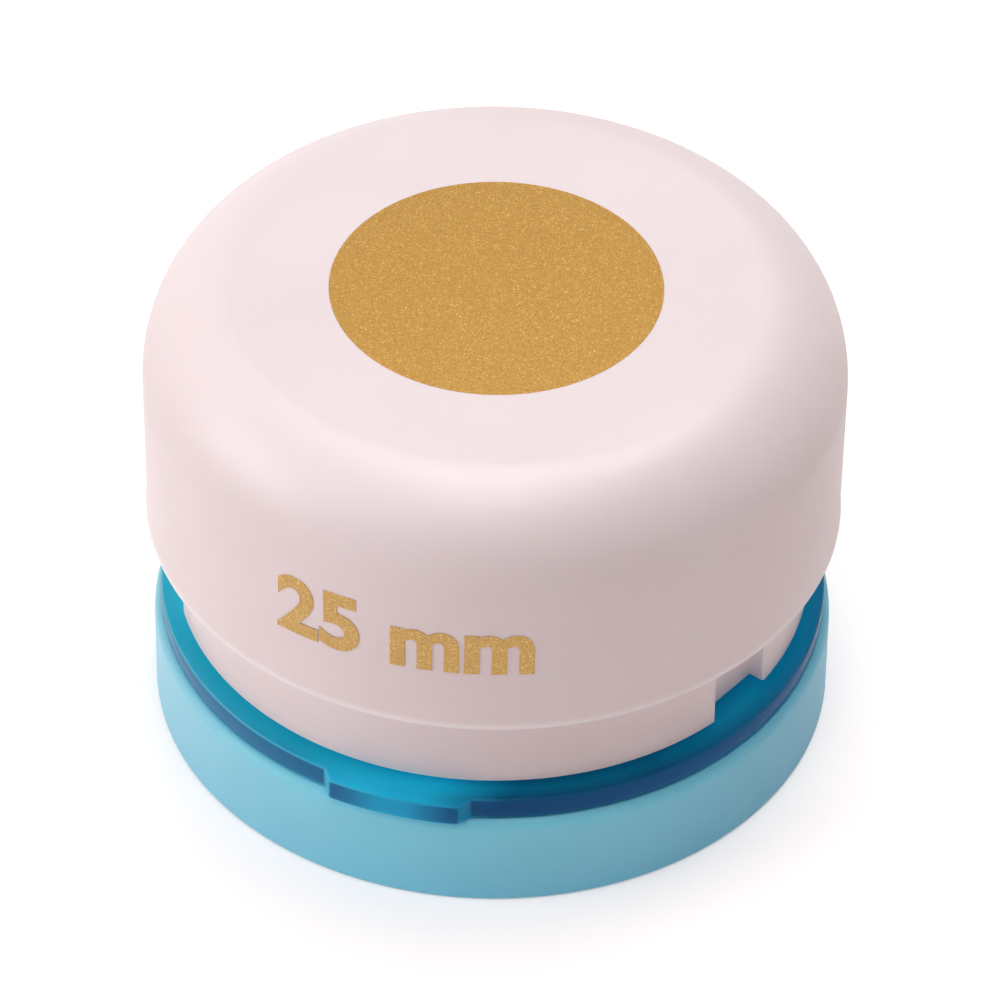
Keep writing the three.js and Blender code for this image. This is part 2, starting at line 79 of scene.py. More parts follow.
# %% [markdown]
# ## The camera
#
# The picture was taken from the front and a little to the right, looking down at about 42
# degrees, with a long lens from about half a metre. A long lens keeps circles close to true
# ellipses, which is why the far rim of the cap looks almost as wide as the near one. The camera
# could be given a shift to frame the punch, but aiming it a little above the base does the same
# and keeps other views centred. It was also held slightly turned, so it gets a small roll.

# %% Set the camera
def way_out(azimuth, elevation):
    """The direction this many degrees round from the front and up from the floor."""
    a, e = math.radians(azimuth), math.radians(elevation)
    return Vector((math.sin(a) * math.cos(e), -math.cos(a) * math.cos(e), math.sin(e)))


view_azimuth = 16
view_elevation = 42.46
view_roll = math.radians(0.82)
view_distance = 560.3 * MM
focal_length = 254.2
sensor_width = 36
nearest_seen = 10 * MM
aim_right = 0.51 * MM
aim_up = 13.22 * MM

toward = way_out(view_azimuth, view_elevation)
across = way_out(view_azimuth + 90, 0)
aim = across * aim_right + toward.cross(across) * aim_up
bpy.ops.object.camera_add(location=toward * view_distance)
camera = bpy.context.active_object
camera.rotation_mode = "QUATERNION"
facing = (aim - camera.location).to_track_quat("-Z", "Y")
camera.rotation_quaternion = facing @ Quaternion((0, 0, 1), view_roll)
camera.data.lens = focal_length
camera.data.sensor_width = sensor_width
camera.data.clip_start = nearest_seen
scene.camera = camera
print("camera stands at", [round(value / MM) for value in camera.location], "mm")

# %% [markdown]
# ## Colours and nodes
#
# A colour picker gives sRGB values, while a shader works in linear light, so every colour is
# written as a hex code and turned to linear by one function. A second function adds a node,
# sets its values and links its inputs, and a few short ones add the kinds that come again and
# again, so that a material reads as a list of what each layer does. Where an input is given a
# node, it takes that node's first output that is in use. Patterns are sized by a real distance
# on the surface: a texture's scale is the number of features per metre.

# %% Helpers for materials
def linear(code):
    """A hex sRGB colour as linear red, green, blue and alpha."""
    levels = [int(code[i:i + 2], 16) / 255 for i in (0, 2, 4)]
    return [v / 12.92 if v <= 0.04045 else ((v + 0.055) / 1.055) ** 2.4 for v in levels] + [1.0]


def output_of(source):
    """An output as it is, or a node's first output that is in use."""
    if isinstance(source, bpy.types.NodeSocket):
        return source
    return next(output for output in source.outputs if output.enabled)


def add_node(tree, kind, inputs=None, **settings):
    """Adds a node. Inputs are values, nodes or outputs."""
    node = tree.nodes.new("ShaderNode" + kind)
    for name, value in settings.items():
        setattr(node, name, value)
    for name, value in (inputs or {}).items():
        if isinstance(value, (bpy.types.Node, bpy.types.NodeSocket)):
            tree.links.new(output_of(value), node.inputs[name])
        else:
            node.inputs[name].default_value = value
    return node


def new_material(name, **constants):
    """A material with one Principled shader and its constants, its tree, and a place on it."""
    material = bpy.data.materials.new(name)
    material.use_nodes = True
    tree = material.node_tree
    shader = tree.nodes["Principled BSDF"]
    for socket, value in constants.items():
        shader.inputs[socket.replace("_", " ")].default_value = value
    return material, tree, add_node(tree, "TexCoord").outputs["Object"]


def link_shader(material, **sources):
    """Links a node to each of the shader's sockets that is named, and gives the material back."""
    tree = material.node_tree
    shader = tree.nodes["Principled BSDF"]
    for socket, source in sources.items():
        tree.links.new(output_of(source), shader.inputs[socket.replace("_", " ")])
    return material


def calculate(tree, operation, *values, kind="Math"):
    """A calculation with one or two values, or with vectors where the kind says so."""
    return add_node(tree, kind, dict(enumerate(values)), operation=operation)


def remap(tree, value, start, end, low=0.0, high=1.0, **settings):
    """Low where a value is at its start and high where it is at its end."""
    return add_node(tree, "MapRange", {
        "Value": value, "From Min": start, "From Max": end, "To Min": low, "To Max": high,
    }, **settings)


def noise(tree, place, spacing, detail, **inputs):
    """Noise whose features are this far apart."""
    return add_node(tree, "TexNoise", {
        "Vector": place, "Scale": 1 / spacing, "Detail": detail, **inputs,
    })


def ramp(tree, value, *stops):
    """Colours along a value. Each stop is a position and a hex code."""
    node = add_node(tree, "ValToRGB", {"Fac": value})
    elements = node.color_ramp.elements
    for i, (position, code) in enumerate(stops):
        element = elements[i] if i < len(elements) else elements.new(position)
        element.position = position
        element.color = linear(code)
    return node


def blend(tree, share, under, over, **settings):
    """One colour laid over another by a share."""
    inputs = {"Factor": share, "A": under, "B": over}
    return add_node(tree, "Mix", inputs, data_type="RGBA", **settings)


def relief_of(tree, height, depth):
    """A bump whose height runs over this depth."""
    return add_node(tree, "Bump", {"Height": height, "Strength": 1.0, "Distance": depth})


print("a mid grey of 808080 is", round(linear("808080")[0], 3), "in linear light")

# %% [markdown]
# ## Satin ABS
#
# The cap and the skirt are injection-moulded ABS in a pale blush. The mould's steel was blasted
# or spark-eroded very finely, so the plastic copies a grain that is too fine to see by itself
# but spreads each highlight into a soft glow. ABS also lets a little light in before it throws
# it back, which softens the shade. So: a dielectric of IOR 1.53, a roughness near 0.4 that a
# slow noise varies as handling does, a faint drift of pigment, and a very low grain. The lower
# edge of each shell is painted a little paler: a painted highlight, which draws the light line
# along the cap's edge. The sides of the ring's channels get a paler painted highlight too. Such
# faces turn away from the punch's axis, so the angle between a face's normal and the way out
# from the axis finds them.

# %% Helper for faces that turn away
def turned_away(tree, place, flat_place, start, most=1.0):
    """0 where a face looks straight out from the axis, and up to a share where it doesn't."""
    normal = place.node.outputs["Normal"]
    outward = calculate(tree, "NORMALIZE", flat_place, kind="VectorMath")
    facing_out = calculate(tree, "DOT_PRODUCT", normal, outward, kind="VectorMath")
    return remap(tree, facing_out, start, 0.8, high=most)


# %% Make satin ABS
# How far up from the lower edge the painted highlight reaches, and where it is at its full share.
edge_highlight_reach = 0.8 * MM
edge_highlight_full = 0.05 * MM


def satin_abs(name, highlight_edge, edge_highlight, cut_face_highlight):
    """ABS whose lower edge, at this height, and cut faces each get a painted highlight, paler by
    a share.
    """
    material, tree, place = new_material(
        name, IOR=1.53, Subsurface_Weight=0.12, Subsurface_Scale=1.2 * MM,
        Subsurface_Radius=(1.0, 0.7, 0.6),
    )
    drift = noise(tree, place, spacing=14 * MM, detail=2.0)
    colour = ramp(tree, drift, (0.35, "F3E4E6"), (0.65, "F1E1E2"))
    spot = add_node(tree, "SeparateXYZ", {"Vector": place})
    # Painted highlight: the lower edge and the faces that turn away from the axis are painted
    # paler.
    edge_highlight_share = remap(
        tree, spot.outputs["Z"], highlight_edge + edge_highlight_full, highlight_edge + edge_highlight_reach,
        low=edge_highlight, high=0.0, interpolation_type="SMOOTHERSTEP",
    )
    flat_place = add_node(tree, "Mapping", {"Vector": place, "Scale": (1, 1, 0)})
    cut_face_highlight_share = turned_away(tree, place, flat_place, 0.97, cut_face_highlight)
    painted_highlight_share = calculate(tree, "MAXIMUM", edge_highlight_share, cut_face_highlight_share)
    highlighted_colour = blend(tree, painted_highlight_share, colour, linear("FFF8F8"))
    handling = noise(tree, place, spacing=6 * MM, detail=5.0)
    rough = remap(tree, handling, 0.3, 0.7, low=0.36, high=0.46)
    # Real grain is about 0.03 mm across; it is drawn at 0.25 mm so that it shows at all.
    grain = noise(tree, place, spacing=0.25 * MM, detail=3.0)
    bump = relief_of(tree, grain, depth=0.0016 * MM)
    return link_shader(material, Base_Color=highlighted_colour, Roughness=rough, Normal=bump)


cap_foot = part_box("press_cap")[0].z
ring_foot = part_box("skirt_housing")[0].z
# The cap gets the painted highlight on its lower edge; the ring gets it on its edge and on its
# channels' faces.
cap_abs = satin_abs("satin_moulded_abs_cap", cap_foot, edge_highlight=0.8, cut_face_highlight=0.0)
ring_abs = satin_abs("satin_moulded_abs_ring", ring_foot, edge_highlight=0.3, cut_face_highlight=0.8)
print("made", cap_abs.name, "and", ring_abs.name)

# %% [markdown]
# ## Gold foil
#
# The round print and the number are hot-stamped foil: a film of lacquer with metal flakes. Each
# flake lies at its own small angle, so under a soft light most look even, a few flash, and the
# print sparkles instead of shining like a plate. Cells of a Voronoi texture stand for the flakes,
# each with its own shade. The shades are partly the flakes' own random tone and partly painted
# glints: the palest shade is a painted highlight for the flakes that flash. A fine noise tilts
# them. The number gets paler shades, which are painted light that makes up for the shade on the
# cap's wall where it stands, and a lower metallic.

# %% Make gold foil
def gold_foil(name, metallic, shades):
    """Foil whose flakes run from a dull shade over a common one to a painted glint."""
    material, tree, place = new_material(name, Metallic=metallic)
    # Real flakes are about 0.05 mm across; they are drawn at 0.1 mm so that they show.
    flakes = add_node(tree, "TexVoronoi", {"Vector": place, "Scale": 1 / (0.1 * MM)})
    colour = ramp(tree, flakes.outputs["Color"], *zip((0.1, 0.75, 0.95), shades))
    rough = remap(tree, flakes.outputs["Distance"], 0.0, 0.8, low=0.34, high=0.5)
    tilt = noise(tree, place, spacing=0.16 * MM, detail=1.0)
    bump = relief_of(tree, tilt, depth=0.02 * MM)
    return link_shader(material, Base_Color=colour, Roughness=rough, Normal=bump)


circle_gold = gold_foil("hot_stamped_gold_foil", 0.75, ["A27735", "B28942", "D0AA66"])
# The number's paler shades are painted light for the shaded side wall.
number_gold = gold_foil("gold_foil_with_painted_light", 0.6, ["B48E4F", "CBA662", "E6C88F"])
print("made", circle_gold.name, "and", number_gold.name)

# %% [markdown]
# ## Tinted acrylic
#
# The base plate is clear acrylic with a blue dye. Looking down through it the eye crosses two
# millimetres of dye and sees a bright cyan; looking into its edge it crosses many, and sees a
# deep blue. Light that enters the edge also runs round inside, like in a ruler: it leaves again
# at the middle of the tab, while the side away from the light stays deep, most of all just
# inside its rim. Glass with a volume would do all of this, but only with a lot of noise, so the
# surface says it, mostly as painted light. Subsurface scattering carries light inwards from the
# edge, and the normal tells the flat faces from the edge. Ramps along X, outwards and round the
# tab's tip paint light and shade into the dye: lighter towards the left and at the tab, deeper
# to the right of it, painted shade just inside the rim, and a painted glow round the tab's tip.
# The bevels and the tab's flanks turn away from the axis, and have a ramp of their own, a painted
# highlight, because light leaves most easily at a corner. A weak emission on the flat faces is a
# painted glow that stands for the light that the tray throws up through them from below.

# %% Make tinted acrylic
# The width of the painted shade inside the rim, the reach of the painted glow round the tab's
# tip, and the strength of the painted glow on the flat faces.
rim_shade_band = 1.6 * MM
painted_glow_core = 1.1 * MM
painted_glow_reach = 4.4 * MM
painted_tray_glow = 0.15


def tinted_acrylic(half, tab_tip):
    """Acrylic for a plate that is this wide each way, with painted light and shade, and a painted
    glow round its tab's tip.
    """
    material, tree, place = new_material(
        "tinted_clear_acrylic", IOR=1.49, Specular_IOR_Level=0.03, Transmission_Weight=0.06,
        Subsurface_Weight=0.7, Subsurface_Scale=1.8 * MM, Subsurface_Radius=(0.1, 0.8, 1.0),
    )
    spot = add_node(tree, "SeparateXYZ", {"Vector": place})
    along = remap(tree, spot.outputs["X"], -half, half)
    # Painted light and shade along X: the top near the axis is lighter towards the left and at
    # the tab, and deeper to the right of it.
    inner = ramp(
        tree, along, (0.0, "44E6FF"), (0.15, "34CEE8"), (0.35, "28C0DE"), (0.56, "20CAF0"),
        (0.67, "0E80AA"), (0.84, "0E86B0"), (0.9, "109ACA"), (1.0, "10B6E4"),
    )
    # The top near the rim, with the same painted light along X and deeper painted shade.
    outer = ramp(
        tree, along, (0.0, "34BCD8"), (0.15, "2CA4C6"), (0.33, "2494B6"), (0.44, "24BCE2"),
        (0.54, "20B2DA"), (0.65, "08466A"), (0.86, "08466A"), (1.0, "0C74A4"),
    )
    # The side faces, lighter towards the left: painted light along X.
    side = ramp(
        tree, along, (0.0, "4C8AB0"), (0.3, "367CA8"), (0.57, "266EA0"), (0.66, "1C5890"),
        (1.0, "1E68A0"),
    )
    flat_place = add_node(tree, "Mapping", {"Vector": place, "Scale": (1, 1, 0)})
    radius = calculate(tree, "LENGTH", flat_place, kind="VectorMath")
    # Painted shade just inside the rim.
    rim_shade_share = remap(tree, radius, half - rim_shade_band, half)
    top = blend(tree, rim_shade_share, inner, outer)
    # A painted glow round the tab's tip.
    away = calculate(tree, "DISTANCE", place, tab_tip, kind="VectorMath")
    glow = remap(tree, away, painted_glow_core, painted_glow_reach, low=0.9, high=0.0)
    edge = blend(tree, glow, side, linear("2CB4E0"))
    # A painted highlight on the bevels and the tab's flanks.
    corner = ramp(
        tree, along, (0.0, "84C8DC"), (0.3, "56B6D6"), (0.46, "44C0E4"), (0.58, "2CA8D4"),
        (0.66, "0C608A"), (0.86, "0C608A"), (1.0, "1E80AC"),
    )
    painted_corner_light = blend(tree, turned_away(tree, place, flat_place, 0.96), edge, corner)
    direction = add_node(tree, "SeparateXYZ", {"Vector": place.node.outputs["Normal"]})
    flatness = calculate(tree, "ABSOLUTE", direction.outputs["Z"])
    on_flat = remap(tree, flatness, 0.8, 0.97)
    colour = blend(tree, on_flat, painted_corner_light, top)
    # A painted glow: a weak emission on the flat faces for the light that the tray throws up.
    through = calculate(tree, "MULTIPLY", on_flat, painted_tray_glow)
    # Fine scuffs, as on any clear part that is handled.
    scuffs = noise(tree, place, spacing=0.6 * MM, detail=6.0)
    rough = remap(tree, scuffs, 0.35, 0.7, low=0.06, high=0.16)
    return link_shader(
        material, Base_Color=colour, Roughness=rough,
        Emission_Color=colour, Emission_Strength=through,
    )


plate_low, plate_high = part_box("base_plate")
tab_depth = 1 * MM
clear_blue = tinted_acrylic(plate_high.x, (0, plate_low.y, plate_high.z - tab_depth))
print("made", clear_blue.name)

# %% [markdown]
# ## Frosted polystyrene
#
# The chip tray is moulded in a milky aqua. Its mould was blasted, so it looks frosted, and
# light wanders inside the wall before it comes out again: the wall glows, most of all near the
# rim, where light comes in through the clear plate above. Subsurface scattering gives the
# wandering. A ramp along the height paints the greener, brighter glow of the rim, and a ramp
# along X paints a paler sheen on the wall on the side of the window light and deeper shade on
# the other side.

# %% Make frosted polystyrene
def frosted_polystyrene(half, bottom, top):
    """Polystyrene for a tray that is this wide each way and stands between two heights."""
    material, tree, place = new_material(
        "frosted_polystyrene", IOR=1.55, Subsurface_Weight=0.35, Subsurface_Scale=2.5 * MM,
        Subsurface_Radius=(0.35, 0.9, 1.0),
    )
    spot = add_node(tree, "SeparateXYZ", {"Vector": place})
    height = remap(tree, spot.outputs["Z"], bottom, top)
    along = remap(tree, spot.outputs["X"], -half, half)
    # The tray's aqua, with a painted sheen towards the left, on the side of the window light, and
    # painted shade towards the right.
    aqua_with_painted_sheen = ramp(
        tree, along, (0.0, "9EDCF2"), (0.3, "8CDCF6"), (0.5, "88E0FE"), (0.8, "88DEFC"),
        (1.0, "7CCCE8"),
    )
    # A painted glow: greener and brighter near the rim.
    rim = ramp(tree, height, (0.0, "FAFAFC"), (0.8, "FFFFFF"), (1.0, "EAFFFF"))
    colour = blend(tree, 1.0, aqua_with_painted_sheen, rim, blend_type="MULTIPLY")
    # The blasted grain is drawn at 0.3 mm so that it shows.
    frost = noise(tree, place, spacing=0.3 * MM, detail=4.0)
    rough = remap(tree, frost, 0.0, 1.0, low=0.42, high=0.56)
    bump = relief_of(tree, frost, depth=0.003 * MM)
    return link_shader(material, Base_Color=colour, Roughness=rough, Normal=bump)


tray_low, tray_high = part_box("chip_tray")
frosted = frosted_polystyrene(tray_high.x, tray_low.z, tray_high.z)
print("made", frosted.name)

# %% [markdown]
# ## Metals
#
# Inside are four metals. The cutter and the fasteners are ground or plated steel, with fine
# lines round the axis where the wheel ran. The die plate and the guide are zinc, cast under
# pressure and tumbled, so they are dull and slightly mottled. The spring is drawn wire, dark
# from its heat treatment and wet with a little oil. All have a metallic of 1 and differ in
# colour, roughness and pattern, so one function makes them from these three.

# %% Make the metals
def metal(name, dark, light, roughness, spacing, stretch, depth):
    """A metal with a pattern whose features are this far apart, stretched sideways."""
    material, tree, place = new_material(name, Metallic=1.0)
    mapping = add_node(tree, "Mapping", {
        "Vector": place, "Scale": (1 / stretch, 1 / stretch, 1),
    })
    marks = noise(tree, mapping, spacing, detail=4.0)
    colour = ramp(tree, marks, (0.3, dark), (0.7, light))
    rough = remap(tree, marks, 0.3, 0.7, *roughness)
    bump = relief_of(tree, marks, depth)
    return link_shader(material, Base_Color=colour, Roughness=rough, Normal=bump)


# Grinding lines are drawn 0.15 mm apart, coarser than real ones, so that they show.
ground_steel, plated_steel, cast_zinc, spring_wire = (metal(*row) for row in (
    ("ground_tool_steel", "A9ACB0", "C6C8CA", (0.2, 0.34), 0.15 * MM, 12, 0.004 * MM),
    ("zinc_plated_steel", "AEB2B4", "C9CBC6", (0.24, 0.36), 0.4 * MM, 1, 0.004 * MM),
    ("tumbled_cast_zinc", "8F9396", "A6A9AB", (0.42, 0.6), 0.7 * MM, 1, 0.02 * MM),
    ("oiled_drawn_wire", "6E7276", "8B8F93", (0.22, 0.36), 0.3 * MM, 3, 0.004 * MM),
))
print("made", [m.name for m in (ground_steel, plated_steel, cast_zinc, spring_wire)])

# %% [markdown]
# The cutter's holder is plain grey ABS straight from a machined mould: no grain, a dull shine,
# and faint flow marks.

# %% Make grey ABS
def grey_abs():
    """ABS with the faint flow marks of a plain moulding."""
    material, tree, place = new_material("plain_grey_abs", IOR=1.53)
    flow = noise(tree, place, spacing=5 * MM, detail=3.0, Distortion=1.5)
    colour = ramp(tree, flow, (0.3, "C2C5C7"), (0.7, "CDCFD0"))
    rough = remap(tree, flow, 0.0, 1.0, low=0.4, high=0.6)
    return link_shader(material, Base_Color=colour, Roughness=rough)


grey = grey_abs()
print("made", grey.name)

# %% [markdown]
# ## Turning a piece
#
# Nearly every piece of the punch is round, so it is turned: its outline is drawn as a chain of
# vertices in the XZ plane, by extruding one vertex from corner to corner, and then spun once
# round Z. A cylinder with insets and bevels would give the same, but an outline keeps every
# radius and height in sight. A corner may carry a rounding, which becomes an arc.

# %% Helpers for outlines
round_steps = 128
small_steps = 48
hole_steps = 32
arc_steps = 5
merge_distance = 0.0005 * MM
# A hair is left where two surfaces would otherwise lie in one plane.
hair = 0.01 * MM


def turned_size(node):
    """Radius, bottom and top of a turned solid in the frame."""
    low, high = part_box(node)
    return high.x, low.z, high.z


def middles(nodes):
    """The middle of each solid's box."""
    return [sum(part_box(node), Vector()) / 2 for node in nodes]


def rounded(corners):
    """Outline points from corners of (radius, height) or (radius, height, rounding)."""
    places = [Vector((corner[0], 0, corner[1])) for corner in corners]
    points = []
    for i, corner in enumerate(corners):
        here = places[i]
        if len(corner) < 3:
            points.append(here)
            continue
        before = (places[i - 1] - here).normalized()
        after = (places[(i + 1) % len(places)] - here).normalized()
        half = before.angle(after) / 2
        centre = here + (before + after).normalized() * corner[2] / math.sin(half)
        start = (here + before * corner[2] / math.tan(half) - centre).normalized()
        end = (here + after * corner[2] / math.tan(half) - centre).normalized()
        for k in range(arc_steps + 1):
            points.append(centre + start.slerp(end, k / arc_steps) * corner[2])
    return points


def bow(radius, height, run, rise, start, end, steps):
    """Corners along an ellipse about a radius and height, from one angle to another."""
    angles = [start + (end - start) * k / steps for k in range(steps + 1)]
    return [(radius + run * math.cos(a), height + rise * math.sin(a)) for a in angles]


print("an arc has", arc_steps, "steps and a full turn", round_steps)


# %% [markdown]
# An operator works on everything that is selected, in the select mode that was used last. So
# each step first lets go of everything, and a helper takes the whole piece into edit mode, or
# only the faces or edges that a rule picks.

# %% Helpers for selecting
def deselect():
    """Lets go of every object."""
    bpy.ops.object.select_all(action="DESELECT")


def open_edit(piece, action="SELECT"):
    """Goes into edit mode with all of a piece selected, or none of it."""
    deselect()
    bpy.context.view_layer.objects.active = piece
    bpy.ops.object.mode_set(mode="EDIT")
    bpy.ops.mesh.select_all(action=action)


def close_edit():
    """Goes back to object mode."""
    bpy.ops.object.mode_set(mode="OBJECT")


def pick(piece, kind, rule):
    """Goes into edit mode with only the faces or edges selected for which the rule holds."""
    open_edit(piece, "DESELECT")
    bpy.ops.mesh.select_mode(type=kind)
    close_edit()
    for item in piece.data.polygons if kind == "FACE" else piece.data.edges:
        item.select = rule(item)
    bpy.ops.object.mode_set(mode="EDIT")


def run_of(piece, edge):
    """The way from one end of an edge to the other."""
    start, end = (piece.data.vertices[i].co for i in edge.vertices)
    return end - start


# %% Helper for turned pieces
def turn(name, corners, steps=round_steps):
    """Spins an outline round Z. One that starts off the axis comes back to its first point."""
    outline = rounded(corners)
    if outline[0].x > 0:
        outline = [*outline, outline[0]]
    deselect()
    bpy.ops.mesh.primitive_plane_add(size=MM)
    piece = bpy.context.active_object
    piece.name = name
    open_edit(piece)
    bpy.ops.mesh.select_mode(type="VERT")
    bpy.ops.mesh.select_all(action="SELECT")
    bpy.ops.mesh.merge(type="CENTER")
    bpy.ops.transform.translate(value=outline[0])
    for here, there in zip(outline, outline[1:]):
        bpy.ops.mesh.extrude_vertices_move(TRANSFORM_OT_translate={"value": there - here})
    bpy.ops.mesh.select_all(action="SELECT")
    bpy.ops.mesh.spin(steps=steps, angle=math.tau, center=(0, 0, 0), axis=(0, 0, 1))
    bpy.ops.mesh.select_all(action="SELECT")
    bpy.ops.mesh.remove_doubles(threshold=merge_distance)
    bpy.ops.mesh.normals_make_consistent(inside=False)
    close_edit()
    return piece


# %% [markdown]
# ## Joining and cutting
#
# Ribs, keys, channels and holes aren't round about the punch's own axis. Each is a small block
# or cylinder that is joined to the piece or cut from it by a Boolean modifier, which is applied
# at once so that the piece ends as one plain mesh. A flat cut right across a piece is made by
# bisect, which also closes it. Its own threshold is 0.1 mm, too coarse for these thin pieces,
# where it would leave doubled faces, so it gets a finer one.

# %% Helpers for blocks, drills and cuts
overrun = 1 * MM


def combine(piece, tool, operation="DIFFERENCE"):
    """Cuts a tool from a piece, or joins it on, and removes the tool."""
    modifier = piece.modifiers.new("combine", "BOOLEAN")
    modifier.operation = operation
    modifier.solver = "EXACT"
    modifier.object = tool
    deselect()
    bpy.context.view_layer.objects.active = piece
    bpy.ops.object.modifier_apply(modifier=modifier.name)
    bpy.data.objects.remove(tool)


def settle():
    """Moves the new primitive's place and size into its mesh, and gives its object back."""
    bpy.ops.object.transform_apply(location=True, rotation=True, scale=True)
    return bpy.context.active_object


def block(centre, size):
    """A block about its middle."""
    deselect()
    bpy.ops.mesh.primitive_cube_add(size=1, location=centre, scale=size)
    return settle()


def rod(place, radius, bottom, top, steps):
    """An upright round bar at a place, between two heights."""
    deselect()
    bpy.ops.mesh.primitive_cylinder_add(
        vertices=steps, radius=radius, depth=top - bottom,
        location=(place.x, place.y, (bottom + top) / 2),
    )
    return settle()


def spoke(inner, outer, bottom, top, width, angle):
    """A block along a radius, at an angle from the front."""
    bar = block(
        (0, -(inner + outer) / 2, (bottom + top) / 2), (width, outer - inner, top - bottom),
    )
    bar.data.transform(Matrix.Rotation(angle, 4, "Z"))
    return bar


def drill(piece, places, radius, bottom, top, steps=hole_steps):
    """Cuts a round hole at each place, from past one height to past the other."""
    for place in places:
        combine(piece, rod(place, radius, bottom - overrun, top + overrun, steps))


def trim(piece, point, normal, **cleared):
    """Cuts a piece along a plane, clears one side of it and closes the cut."""
    open_edit(piece)
    bpy.ops.mesh.bisect(
        plane_co=point, plane_no=normal, use_fill=True, threshold=merge_distance, **cleared,
    )
    close_edit()


# %% Helpers for finishing a piece
smooth_angle = math.radians(35)


def smooth(piece):
    """Shades round faces smooth and flat faces flat."""
    deselect()
    piece.select_set(True)
    bpy.context.view_layer.objects.active = piece
    bpy.ops.object.shade_smooth_by_angle(angle=smooth_angle)
    modifier = piece.modifiers.new("even_shading", "WEIGHTED_NORMAL")
    modifier.keep_sharp = True
    bpy.ops.object.modifier_apply(modifier=modifier.name)


def place_piece(piece, material, slot, body, *nodes):
    """Gives a piece its material, lets it ride on a body, and hides what it replaces. The slot is
    not used.
    """
    piece.data.materials.clear()
    piece.data.materials.append(material)
    smooth(piece)
    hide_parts(*nodes)
    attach(piece, body)
    print(piece.name, "has", len(piece.data.polygons), "faces and stands for", *nodes)


# %% [markdown]
# ## The cap
#
# The cap is one moulded shell. Its shoulder isn't a quarter circle: it comes in 6.8 mm and goes
# down 8.2 mm, a quarter ellipse, which gives the cap its soft, pebble-like look. The foil lies
# in a shallow seat in the top. Inside are a ring that centres the cutter's holder, short
# gussets, and three snap keys that run in the skirt's channels.

# %% Sizes of the cap
cap_radius, cap_edge, cap_top = turned_size("press_cap")
disc_radius, print_bottom, print_top = turned_size("gold_print")
holder_radius, collar_bottom, ceiling = turned_size("cutter_holder")
foil = 0.02 * MM
shell_radius = cap_radius - foil - hair
shell_top = print_top - foil
print_fit = 0.005 * MM
shoulder_run = 6.8 * MM
shoulder_drop = 8.2 * MM
shoulder_steps = 28
cap_wall = 2 * MM
cap_inner = cap_radius - cap_wall
cap_flat = cap_radius - shoulder_run
shoulder_height = cap_top - shoulder_drop
lip_flare = 0.09 * MM
lip_height = 0.6 * MM
lip_land = 0.2 * MM
locator_wall = 1 * MM
locator_depth = 2 * MM
cap_size = [round(size / MM, 1) for size in (2 * cap_radius, cap_top - cap_edge)]
print("cap is", cap_size[0], "mm across and", cap_size[1], "mm high")

# %% Turn the cap
quarter = math.pi / 2
cap_corners = [
    (0, print_bottom),
    (disc_radius + print_fit, print_bottom),
    (disc_radius + print_fit, shell_top),
    *bow(
        shell_radius - shoulder_run, shoulder_height, shoulder_run, shell_top - shoulder_height,
        quarter, 0, shoulder_steps,
    ),
    (shell_radius - lip_flare, cap_edge + lip_height),
    (shell_radius, cap_edge + lip_land, lip_land / 4),
    (shell_radius, cap_edge, lip_land / 2),
    (cap_inner, cap_edge, lip_land),
    *bow(
        cap_flat, shoulder_height, shoulder_run - cap_wall, ceiling - shoulder_height,
        0, quarter, shoulder_steps // 2,
    ),
    (cap_flat, ceiling - locator_depth),
    (cap_flat - locator_wall, ceiling - locator_depth),
    (cap_flat - locator_wall, ceiling),
    (0, ceiling),
]
cap = turn("cap_shell", cap_corners)
print("cap outline has", len(cap_corners), "corners")

# %% [markdown]
# The gussets and keys are blocks that reach a little into the wall before they are joined. A
# key has a sloped foot, which is how the cap snaps over the skirt when it is first put on.

# %% Join gussets and keys to the cap
gusset_count = 8
gusset_width = 0.8 * MM
gusset_depth = 2.5 * MM
gusset_reach = 24.1 * MM
gusset_bite = 0.2 * MM
key_width = 5.3 * MM
key_tip = 23.5 * MM
key_bottom = 19.6 * MM
key_top = 23.7 * MM
key_lead = 0.7 * MM
channel_angle = math.radians(67)
key_angles = [channel_angle, math.pi, -channel_angle]


def key_block(angle):
    """A snap key whose foot slopes back towards the wall."""
    key = spoke(key_tip, cap_inner + cap_wall / 2, key_bottom, key_top, key_width, 0)
    for vertex in key.data.vertices:
        if vertex.co.z < key_bottom + key_lead / 2 and -vertex.co.y < cap_inner:
            vertex.co.y -= key_lead
    key.data.transform(Matrix.Rotation(angle, 4, "Z"))
    return key


for i in range(gusset_count):
    turn_angle = (i + 0.5) * math.tau / gusset_count
    gusset = spoke(
        cap_flat - locator_wall / 2, gusset_reach,
        ceiling - gusset_depth, ceiling + gusset_bite, gusset_width, turn_angle,
    )
    combine(cap, gusset, "UNION")
for angle in key_angles:
    combine(cap, key_block(angle), "UNION")
place_piece(cap, cap_abs, "blush_abs", "press", "press_cap")

# %% [markdown]
# ## The round print
#
# The foil shows the disc that the punch cuts, at its real size. It lies in the cap's seat and
# stands over the plastic by the film's own thickness, so its edge catches a thin line of light.

# %% Turn the round print
circle_print = turn("circle_print", [
    (0, print_bottom),
    (disc_radius, print_bottom),
    (disc_radius, print_top, foil),
    (0, print_top),
])
place_piece(circle_print, circle_gold, "gold_foil", "press", "gold_print")

# %% [markdown]
# ## The number on the side
#
# The side of the cap carries a plain size mark in the same foil: the disc's width in
# millimetres. A text object gives clean digits. It is made a mesh while it is still flat, cut
# into narrow strips so that its straight edges can bend, and then wrapped on to the wall.

# %% Write the number
mark_text = "25 mm"
letter_size = 6 * MM
letter_growth = 0.2 * MM
mark_width = 20.4 * MM
mark_height = 26.6 * MM
mark_angle = math.radians(1.2)
strip = 0.5 * MM

